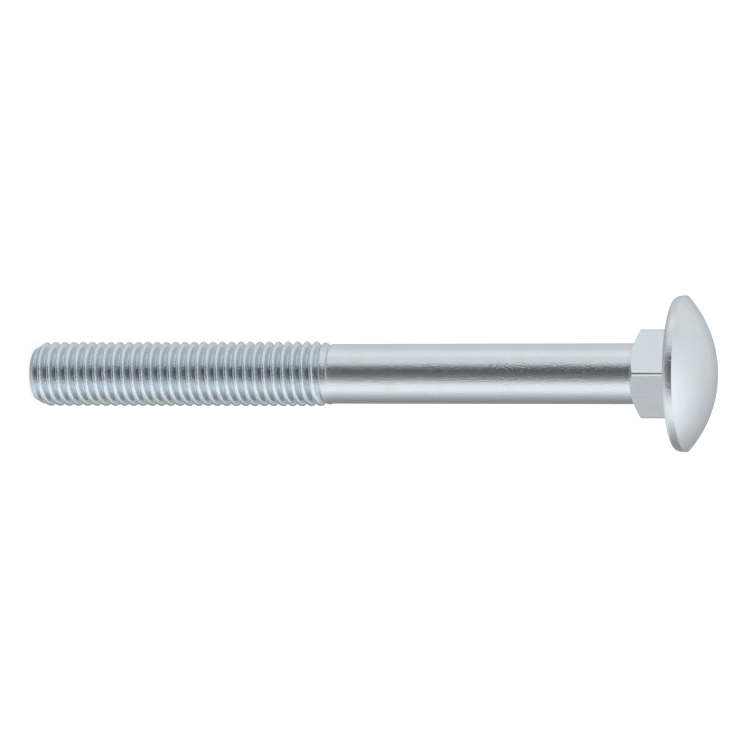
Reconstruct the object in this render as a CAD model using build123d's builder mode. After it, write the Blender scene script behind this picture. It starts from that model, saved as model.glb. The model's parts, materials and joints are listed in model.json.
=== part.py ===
from build123d import *
import os
from math import radians, tan

# Carriage bolt, nominal M10 x 100, in millimetres: a low domed head, a square neck, and a threaded
# end on a shank that keeps the blank's own diameter. It is forged and rolled as one piece.
# The thread is held as a plain cylinder over its crests, for a nut to be fitted to.
# Lying down it would roll on its round head, so it stands on the flat end of its thread.
# Z is its axis, the origin is the centre of that end, and the neck's corners point along
# X and Y.

# length from the head's bearing face to the tip
bolt_length = 100.6

# head
head_radius = 11.65
rim_height = 1.45  # edge of the head, from the bearing face to the dome
rim_rounding = 0.4  # how far the edge's rounding reaches in across the bearing face
dome_height = 4.42

# square neck
neck_width = 9.62  # across flats
neck_corner_radius = 0.42
neck_length = 5.46  # from the bearing face to where the corners end
neck_end_angle = 22.0  # slope of the corners' ends, from a plane square to the axis

# shank and thread
shank_radius = 4.55
thread_radius = 4.95  # over the crests
thread_length = 45.4  # from the tip to the last full crest
runout_length = 2.4  # the crests sink into the shank
tip_radius = 4.0  # flat end face
tip_chamfer_angle = 30.0  # from the axis

tip_chamfer_length = (thread_radius - tip_radius) / tan(radians(tip_chamfer_angle))
dome_radius = (head_radius**2 + dome_height**2) / (2 * dome_height)
seat_plane = Plane.XY.offset(bolt_length)
rim_top = bolt_length + rim_height

# A square bar, turned down at its end so that each corner stops in a curved edge.
neck_end_slope = tan(radians(neck_end_angle))
corner_reach = (neck_width / 2 - neck_corner_radius) * 2**0.5 + neck_corner_radius
corner_end = bolt_length - neck_length
with BuildPart() as square_neck:
    with BuildSketch(seat_plane):
        RectangleRounded(neck_width, neck_width, neck_corner_radius, rotation=45)
    extrude(amount=-neck_length - neck_width)
    with BuildSketch(Plane.XZ):
        with BuildLine():
            Polyline(
                (0, bolt_length),
                (neck_width, bolt_length),
                (neck_width, corner_end + (neck_width - corner_reach) * neck_end_slope),
                (0, corner_end - corner_reach * neck_end_slope),
                close=True,
            )
        make_face()
    revolve(axis=Axis.Z, mode=Mode.INTERSECT)

# Head, shank and threaded end are one turned shape, and the neck is forged onto it.
with BuildPart() as carriage_bolt:
    with BuildSketch(Plane.XZ):
        with BuildLine():
            Polyline(
                (0, rim_top + dome_height),
                (0, 0),
                (tip_radius, 0),
                (thread_radius, tip_chamfer_length),
                (thread_radius, thread_length),
                (shank_radius, thread_length + runout_length),
                (shank_radius, bolt_length),
                (head_radius - rim_rounding, bolt_length),
            )
            EllipticalCenterArc(
                (head_radius - rim_rounding, rim_top), rim_rounding, rim_height, -90, arc_size=90
            )
            RadiusArc((head_radius, rim_top), (0, rim_top + dome_height), -dome_radius)
        make_face()
    revolve(axis=Axis.Z)
    add(square_neck.part)
carriage_bolt.part.label = "carriage_bolt"

os.makedirs("parts", exist_ok=True)
export_step(carriage_bolt.part, "parts/carriage_bolt.step")
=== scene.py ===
import json
from math import asin, atan, atan2, cos, floor, pi, radians, sin, sqrt, tan

import bmesh
import bpy
from mathutils import Matrix, Vector


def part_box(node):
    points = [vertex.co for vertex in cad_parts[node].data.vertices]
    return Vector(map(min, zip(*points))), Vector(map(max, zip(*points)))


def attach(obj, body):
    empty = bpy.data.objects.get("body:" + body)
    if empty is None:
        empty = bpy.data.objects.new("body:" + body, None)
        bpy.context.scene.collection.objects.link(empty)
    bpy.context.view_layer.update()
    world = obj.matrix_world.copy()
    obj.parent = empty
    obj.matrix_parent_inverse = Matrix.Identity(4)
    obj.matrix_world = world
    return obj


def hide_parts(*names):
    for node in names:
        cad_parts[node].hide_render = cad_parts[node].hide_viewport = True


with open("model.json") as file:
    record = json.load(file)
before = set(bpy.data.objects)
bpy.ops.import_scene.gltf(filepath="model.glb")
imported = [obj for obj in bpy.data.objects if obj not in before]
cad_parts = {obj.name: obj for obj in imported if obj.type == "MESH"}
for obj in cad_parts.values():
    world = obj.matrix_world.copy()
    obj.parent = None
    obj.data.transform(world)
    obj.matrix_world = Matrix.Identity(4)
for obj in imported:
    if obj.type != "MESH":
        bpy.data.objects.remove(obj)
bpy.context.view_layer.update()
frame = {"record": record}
mm = 0.001  # the scene is in metres, the sizes below are in millimetres
mounts = {mount["name"]: mount for mount in frame["record"]["mounts"]}
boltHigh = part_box("carriage_bolt")[1]

bolt = {
    "tipRadius": 4.0,  # flat end that it stands on
    "tipChamferAngle": 30.0,  # from the axis
    "pitch": 1.5,  # right-hand
    "rootRadius": 4.03,
    "crestBreadth": 0.12,  # 0 is a plain wave, more makes broad crests and narrow roots
    "threadTurn": 0.823,  # of a turn, which way the crest faces at the tip
    "fullThread": 45.4,  # from the tip to the last full crest
    "runOut": 2.4,
    "shankRadius": 4.55,
    "neckWidth": 9.62,  # across flats
    "neckCornerRadius": 0.42,
    "neckEndAngle": 22.0,
    "rimHeight": 1.45,
    "rimRounding": 0.4,
    "domeHeight": 4.42,
    "columns": 128,
    "cornerCrowding": 0.8,  # draws the columns together at the neck's corners
    "ringsPerPitch": 20,
    "ringSlack": 1e-4,  # heights closer than this are one ring
    "mergeDistance": 1e-7,  # m
}
bearingHeight = mounts["bearing_face"]["pos_m"][2] / mm
crestRadius = mounts["thread_m10"]["dims"]["r_mm"]
neckLength = mounts["square_neck"]["dims"]["length_mm"]
headRadius = boltHigh[0] / mm
threadEnd = bolt["fullThread"] + bolt["runOut"]
rimTop = bearingHeight + bolt["rimHeight"]
domeRadius = (headRadius**2 + bolt["domeHeight"] ** 2) / (2 * bolt["domeHeight"])
domeCentre = rimTop + bolt["domeHeight"] - domeRadius
cornerCentre = (bolt["neckWidth"] / 2 - bolt["neckCornerRadius"]) * sqrt(2)
cornerReach = cornerCentre + bolt["neckCornerRadius"]
cornerEnd = bearingHeight - neckLength


def squareRadius(turn):
    # distance from the axis to the neck's outline, with its corners at each quarter turn
    quarter = pi / 2
    fromCorner = turn - quarter * floor(turn / quarter + 0.5)
    flat = bolt["neckWidth"] / 2
    flatEnd = pi / 4 - atan((flat - bolt["neckCornerRadius"]) / flat)
    if abs(fromCorner) > flatEnd:
        return flat / cos(pi / 4 - abs(fromCorner))
    across = cornerCentre * sin(fromCorner)
    return cornerCentre * cos(fromCorner) + sqrt(bolt["neckCornerRadius"] ** 2 - across**2)


def neckEndHeight(radius):
    return cornerEnd + (radius - cornerReach) * tan(radians(bolt["neckEndAngle"]))


def endFace(part, turn):
    return bolt["tipRadius"] * part, 0.0


def threadedEnd(part, turn):
    height = threadEnd * part
    fade = max(0.0, (height - bolt["fullThread"]) / bolt["runOut"])
    crest = crestRadius + (bolt["shankRadius"] - crestRadius) * fade
    root = bolt["rootRadius"] + (bolt["shankRadius"] - bolt["rootRadius"]) * fade
    phase = 2 * pi * (height / bolt["pitch"] - turn / (2 * pi) + bolt["threadTurn"])
    breadth = bolt["crestBreadth"]
    wave = (cos(phase) - breadth * cos(2 * phase) + 1 + breadth) / 2
    chamfer = bolt["tipRadius"] + height * tan(radians(bolt["tipChamferAngle"]))
    return min(root + (crest - root) * wave, chamfer), height


def plainShank(part, turn):
    top = neckEndHeight(bolt["shankRadius"])
    return bolt["shankRadius"], threadEnd + (top - threadEnd) * part


def neckEnd(part, turn):
    radius = bolt["shankRadius"] + (squareRadius(turn) - bolt["shankRadius"]) * part
    return radius, neckEndHeight(radius)


def neckSide(part, turn):
    radius = squareRadius(turn)
    foot = neckEndHeight(radius)
    return radius, foot + (bearingHeight - foot) * part


def bearingFace(part, turn):
    inner = squareRadius(turn)
    return inner + (headRadius - bolt["rimRounding"] - inner) * part, bearingHeight


def rim(part, turn):
    around = part * pi / 2
    inner = headRadius - bolt["rimRounding"]
    return inner + bolt["rimRounding"] * sin(around), rimTop - bolt["rimHeight"] * cos(around)


def dome(part, turn):
    around = asin(headRadius / domeRadius) * (1 - part)
    return domeRadius * sin(around), domeCentre + domeRadius * cos(around)


# each stretch of the outline, from the tip to the top of the head, its rings, and its steps
threadRings = round(threadEnd / bolt["pitch"] * bolt["ringsPerPitch"])
threadSteps = 7  # one cut of the mesh makes at most 100 rings
outline = [
    (endFace, 4, 1),
    (threadedEnd, threadRings, threadSteps),
    (plainShank, 48, 1),
    (neckEnd, 4, 1),
    (neckSide, 4, 1),
    (bearingFace, 4, 1),
    (rim, 8, 1),
    (dome, 28, 1),
]
softEdges = (threadedEnd, bearingFace)  # they run smoothly into the next stretch


def selectEdges(shell, wanted):
    bpy.ops.mesh.select_all(action="DESELECT")
    mesh = bmesh.from_edit_mesh(shell.data)
    for edge in mesh.edges:
        low, high = sorted(vert.co.z for vert in edge.verts)
        if wanted(low, high):
            edge.select_set(True)
    bmesh.update_edit_mesh(shell.data)


def makeBolt():
    # a tube with a unit of height for each step, cut into rings, then drawn to the bolt's outline
    bpy.ops.object.select_all(action="DESELECT")
    bpy.ops.mesh.primitive_circle_add(vertices=bolt["columns"], radius=1.0, location=(0, 0, 0))
    slack = bolt["ringSlack"]
    shell = bpy.context.active_object
    shell.name = "threadedBolt"
    bpy.ops.object.mode_set(mode="EDIT")
    bpy.ops.mesh.select_mode(type="EDGE")
    bpy.ops.mesh.select_all(action="SELECT")
    for step in range(sum(steps for stretch, rings, steps in outline)):
        bpy.ops.mesh.extrude_region_move(TRANSFORM_OT_translate={"value": (0, 0, 1)})
    starts = []
    height = 0
    for stretch, rings, steps in outline:
        starts.append(height)
        for step in range(steps):
            cuts = round(rings / steps) - 1
            bottom = height + step
            selectEdges(shell, lambda low, high: abs(low - bottom) < slack and high - low > slack)
            bpy.ops.mesh.subdivide(number_cuts=cuts)
        height += steps
        if stretch not in softEdges:
            selectEdges(shell, lambda low, high: abs(low - height) < slack and high - low < slack)
            bpy.ops.mesh.mark_sharp()
    bpy.ops.object.mode_set(mode="OBJECT")

    for vert in shell.data.vertices:
        even = atan2(vert.co.x, -vert.co.y)
        turn = even - bolt["cornerCrowding"] * sin(4 * even) / 4
        number = max(i for i in range(len(starts)) if starts[i] <= vert.co.z + slack)
        stretch, rings, steps = outline[number]
        radius, level = stretch(min(1.0, (vert.co.z - starts[number]) / steps), turn)
        vert.co = Vector((radius * sin(turn), -radius * cos(turn), level)) * mm

    bpy.ops.object.mode_set(mode="EDIT")
    bpy.ops.mesh.select_all(action="SELECT")
    bpy.ops.mesh.remove_doubles(threshold=bolt["mergeDistance"])  # closes the two poles
    bpy.ops.mesh.normals_make_consistent(inside=False)
    bpy.ops.object.mode_set(mode="OBJECT")
    bpy.ops.object.shade_smooth()
    return shell


zinc = {
    "colour": (0.80, 0.83, 0.855, 1.0),
    "warmColour": (0.783, 0.822, 0.826, 1.0),
    "lilacColour": (0.81, 0.832, 0.872, 1.0),
    "grooveShadeColour": (0.68, 0.75, 0.80, 1.0),  # painted shade, darker down in the thread's grooves
    "roughness": (0.07, 0.16),
    "mottleSize": 2.5,  # mm
    "grainSize": 0.20,  # mm
    "streakSize": 0.35,  # mm across, and far longer along the bolt
    "streakLength": 9.0,  # mm
    "grainHeight": 0.050,  # mm
    "streakHeight": 0.006,  # mm
    "mottleDetail": 3.0,
    "grainDetail": 2.0,
    "streakDetail": 2.0,
    "noiseRange": (0.3, 0.7),  # what the noise mostly keeps to
    "tintPlaces": (0.1, 0.5, 0.9),  # warm, plain and lilac along the mottling
}


def addNode(tree, kind, **settings):
    node = tree.nodes.new(kind)
    for name, value in settings.items():
        setattr(node, name, value)
    return node


def noiseAt(tree, place, size, detail):
    noise = addNode(tree, "ShaderNodeTexNoise")
    noise.inputs["Scale"].default_value = 1 / (size * mm)
    noise.inputs["Detail"].default_value = detail
    tree.links.new(place, noise.inputs["Vector"])
    return noise.outputs["Fac"]


def rangeOf(tree, value, start, end, low=0.0, high=1.0):
    fit = addNode(tree, "ShaderNodeMapRange")
    fit.inputs["From Min"].default_value = start
    fit.inputs["From Max"].default_value = end
    fit.inputs["To Min"].default_value = low
    fit.inputs["To Max"].default_value = high
    tree.links.new(value, fit.inputs["Value"])
    return fit.outputs["Result"]


def feed(tree, socket, value):
    if isinstance(value, (int, float)):
        socket.default_value = value
    else:
        tree.links.new(value, socket)


def joined(tree, operation, *values):
    node = addNode(tree, "ShaderNodeMath", operation=operation)
    for socket, value in zip(node.inputs, values):
        feed(tree, socket, value)
    return node.outputs["Value"]


def grooveShadeMask(tree, place):
    # 1 at the thread's roots, 0 on its crests and on all that is not thread; it places the shade
    # painted into the grooves
    parts = addNode(tree, "ShaderNodeSeparateXYZ")
    tree.links.new(place, parts.inputs["Vector"])
    squares = [joined(tree, "POWER", parts.outputs[axis], 2.0) for axis in ("X", "Y")]
    radius = joined(tree, "SQRT", joined(tree, "ADD", *squares))
    depth = rangeOf(tree, radius, crestRadius * mm, bolt["rootRadius"] * mm)
    inThread = rangeOf(tree, parts.outputs["Z"], threadEnd * mm, bolt["fullThread"] * mm)
    return joined(tree, "MULTIPLY", depth, inThread)


def bumpFrom(tree, height, distance, below=None):
    bump = addNode(tree, "ShaderNodeBump")
    bump.inputs["Strength"].default_value = 1.0
    bump.inputs["Distance"].default_value = distance * mm
    tree.links.new(height, bump.inputs["Height"])
    if below:
        tree.links.new(below, bump.inputs["Normal"])
    return bump.outputs["Normal"]


def makeZinc():
    material = bpy.data.materials.new("brightZinc")
    material.use_nodes = True
    tree = material.node_tree
    shader = tree.nodes["Principled BSDF"]
    shader.inputs["Metallic"].default_value = 1.0
    place = addNode(tree, "ShaderNodeTexCoord").outputs["Object"]
    stretched = addNode(tree, "ShaderNodeMapping")
    stretched.inputs["Scale"].default_value = (1, 1, zinc["streakSize"] / zinc["streakLength"])
    tree.links.new(place, stretched.inputs["Vector"])

    mottle = noiseAt(tree, place, zinc["mottleSize"], zinc["mottleDetail"])
    grain = noiseAt(tree, place, zinc["grainSize"], zinc["grainDetail"])
    streak = noiseAt(tree, stretched.outputs["Vector"], zinc["streakSize"], zinc["streakDetail"])
    tint = addNode(tree, "ShaderNodeValToRGB")
    warmAt, plainAt, lilacAt = zinc["tintPlaces"]
    stops = tint.color_ramp.elements
    stops[0].color = zinc["warmColour"]
    stops[0].position = warmAt
    stops[1].color = zinc["lilacColour"]
    stops[1].position = lilacAt
    stops.new(plainAt).color = zinc["colour"]
    tree.links.new(rangeOf(tree, mottle, *zinc["noiseRange"]), tint.inputs["Fac"])
    # painted shade: the base colour is darkened towards the thread's roots, where the grooves fall
    # into shade
    grooveShaded = addNode(tree, "ShaderNodeMix", data_type="RGBA")
    tree.links.new(grooveShadeMask(tree, place), grooveShaded.inputs["Factor"])
    tree.links.new(tint.outputs["Color"], grooveShaded.inputs["A"])
    grooveShaded.inputs["B"].default_value = zinc["grooveShadeColour"]
    tree.links.new(grooveShaded.outputs["Result"], shader.inputs["Base Color"])
    uneven = rangeOf(tree, grain, *zinc["noiseRange"], *zinc["roughness"])
    tree.links.new(uneven, shader.inputs["Roughness"])
    coarse = bumpFrom(tree, streak, zinc["streakHeight"])
    fine = bumpFrom(tree, grain, zinc["grainHeight"], coarse)
    tree.links.new(fine, shader.inputs["Normal"])
    return material


threadedBolt = makeBolt()
threadedBolt.data.materials.append(makeZinc())
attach(threadedBolt, "root")
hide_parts("carriage_bolt")
print("bolt:", len(threadedBolt.data.polygons), "faces")

studio = {
    "floorSize": 8.0,
    "floorColour": (0.75, 0.75, 0.75, 1.0),
    "floorGlow": 0.60,
    "floorRoughness": 0.9,
    # brightness round the bolt: degrees from the camera's side, towards +X, and its level
    "around": [
        (-180, 0.50), (-150, 0.66), (-108, 0.70), (-92, 0.80), (-86, 0.95), (-74, 0.95),
        (-68, 0.78), (-60, 0.76), (-55, 0.60), (-49, 0.84), (-38, 0.96), (-32, 0.16),
        (-12, 0.10), (8, 0.17), (28, 0.36), (34, 0.88), (52, 1.00), (66, 1.06),
        (82, 0.74), (92, 0.56), (112, 0.40), (122, 0.30), (146, 0.30), (180, 0.50),
    ],
    "tint": (0.955, 1.0, 1.03),
    "overhead": 0.98,
    "overheadEast": 0.45,  # more of it towards +X
    "overheadNorth": -0.35,
    "overheadCorner": -0.84,  # and less towards +X and +Y together
    "overheadMost": 1.1,
    "overheadFrom": (0.35, 0.9),  # the heights where it begins and where it is full
    "cardLean": 0.4,  # the cards by the camera stand higher than those behind
    "underneath": 0.52,
    "underneathEast": 0.6,  # more of it towards +X
    "underneathLeast": 0.46,
    "underneathFrom": (-0.75, -0.38),  # the heights where it is full and where it ends
    "backdrop": (1.0, 1.0, 1.0, 1.0),
}
view = {
    "lens": 198.9,
    "sensor": 36.0,
    "tilt": 15.6,  # degrees above the level
    "distance": 0.6268,
    "aim": (0.00018, 0.0, 0.0541),
}


def makeFloor():
    bpy.ops.object.select_all(action="DESELECT")
    bpy.ops.mesh.primitive_plane_add(size=studio["floorSize"], location=(0, 0, 0))
    floorPlane = bpy.context.active_object
    floorPlane.name = "paleFloor"
    floorPlane.visible_glossy = False  # the metal mirrors the lights alone
    material = bpy.data.materials.new("paleFloor")
    material.use_nodes = True
    shader = material.node_tree.nodes["Principled BSDF"]
    shader.inputs["Base Color"].default_value = studio["floorColour"]
    shader.inputs["Roughness"].default_value = studio["floorRoughness"]
    shader.inputs["Specular IOR Level"].default_value = 0.0
    shader.inputs["Emission Color"].default_value = (1, 1, 1, 1)
    shader.inputs["Emission Strength"].default_value = studio["floorGlow"]
    floorPlane.data.materials.append(material)


def blendByHeight(tree, height, start, end, below, above):
    step = addNode(tree, "ShaderNodeMapRange", interpolation_type="SMOOTHSTEP")
    step.inputs["From Min"].default_value = start
    step.inputs["From Max"].default_value = end
    tree.links.new(height, step.inputs["Value"])
    mix = addNode(tree, "ShaderNodeMix", data_type="FLOAT")
    tree.links.new(step.outputs["Result"], mix.inputs["Factor"])
    feed(tree, mix.inputs["A"], below)
    feed(tree, mix.inputs["B"], above)
    return mix.outputs["Result"]


def makeLight():
    world = bpy.data.worlds.new("softStudio")
    bpy.context.scene.world = world
    world.use_nodes = True
    tree = world.node_tree
    tree.nodes.clear()
    direction = addNode(tree, "ShaderNodeSeparateXYZ")
    coordinates = addNode(tree, "ShaderNodeTexCoord")
    tree.links.new(coordinates.outputs["Generated"], direction.inputs["Vector"])
    east, north, height = direction.outputs
    south = joined(tree, "MULTIPLY", north, -1.0)
    around = joined(tree, "ARCTAN2", east, south)
    share = joined(tree, "MULTIPLY_ADD", around, 1 / (2 * pi), 0.5)
    ramp = addNode(tree, "ShaderNodeValToRGB")
    stops = ramp.color_ramp.elements
    for angle, level in studio["around"][1:-1]:  # a new ramp has its two end stops
        stops.new((angle + 180) / 360)
    for stop, (angle, level) in zip(stops, studio["around"]):
        stop.color = (level, level, level, 1.0)
    tree.links.new(share, ramp.inputs["Fac"])
    corner = joined(tree, "MULTIPLY", joined(tree, "MULTIPLY", east, north), studio["overheadCorner"])
    top = joined(tree, "ADD", corner, joined(tree, "MULTIPLY", east, studio["overheadEast"]))
    top = joined(tree, "ADD", top, joined(tree, "MULTIPLY", north, studio["overheadNorth"]))
    top = joined(tree, "MINIMUM", joined(tree, "ADD", top, studio["overhead"]), studio["overheadMost"])
    lifted = joined(tree, "ADD", height, joined(tree, "MULTIPLY", north, studio["cardLean"]))
    level = blendByHeight(tree, lifted, *studio["overheadFrom"], ramp.outputs["Color"], top)
    below = joined(tree, "MULTIPLY", east, studio["underneathEast"])
    below = joined(tree, "ADD", below, studio["underneath"])
    below = joined(tree, "MAXIMUM", below, studio["underneathLeast"])
    level = blendByHeight(tree, height, *studio["underneathFrom"], below, level)
    colour = addNode(tree, "ShaderNodeCombineXYZ")
    for socket, tint in zip(colour.inputs, studio["tint"]):
        tree.links.new(joined(tree, "MULTIPLY", level, tint), socket)
    lit = addNode(tree, "ShaderNodeBackground")
    tree.links.new(colour.outputs["Vector"], lit.inputs["Color"])
    plain = addNode(tree, "ShaderNodeBackground")
    plain.inputs["Color"].default_value = studio["backdrop"]
    mix = addNode(tree, "ShaderNodeMixShader")
    seen = addNode(tree, "ShaderNodeLightPath").outputs["Is Camera Ray"]
    tree.links.new(seen, mix.inputs["Fac"])
    tree.links.new(lit.outputs["Background"], mix.inputs[1])
    tree.links.new(plain.outputs["Background"], mix.inputs[2])
    output = addNode(tree, "ShaderNodeOutputWorld")
    tree.links.new(mix.outputs["Shader"], output.inputs["Surface"])


def makeCamera():
    # it looks down a little from the front, and lies on its side, so that the head is on the right
    bpy.ops.object.camera_add()
    camera = bpy.context.active_object
    camera.data.lens = view["lens"]
    camera.data.sensor_width = view["sensor"]
    tilt = radians(view["tilt"])
    right = Vector((0, sin(tilt), cos(tilt)))
    up = Vector((-1, 0, 0))
    back = Vector((0, -cos(tilt), sin(tilt)))
    place = Vector(view["aim"]) + back * view["distance"]
    camera.matrix_world = Matrix.Translation(place) @ Matrix((right, up, back)).transposed().to_4x4()
    bpy.context.scene.camera = camera


makeFloor()
makeLight()
makeCamera()
bpy.context.scene.view_settings.view_transform = "Standard"
print("studio: floor, light and camera")

bpy.context.view_layer.update()
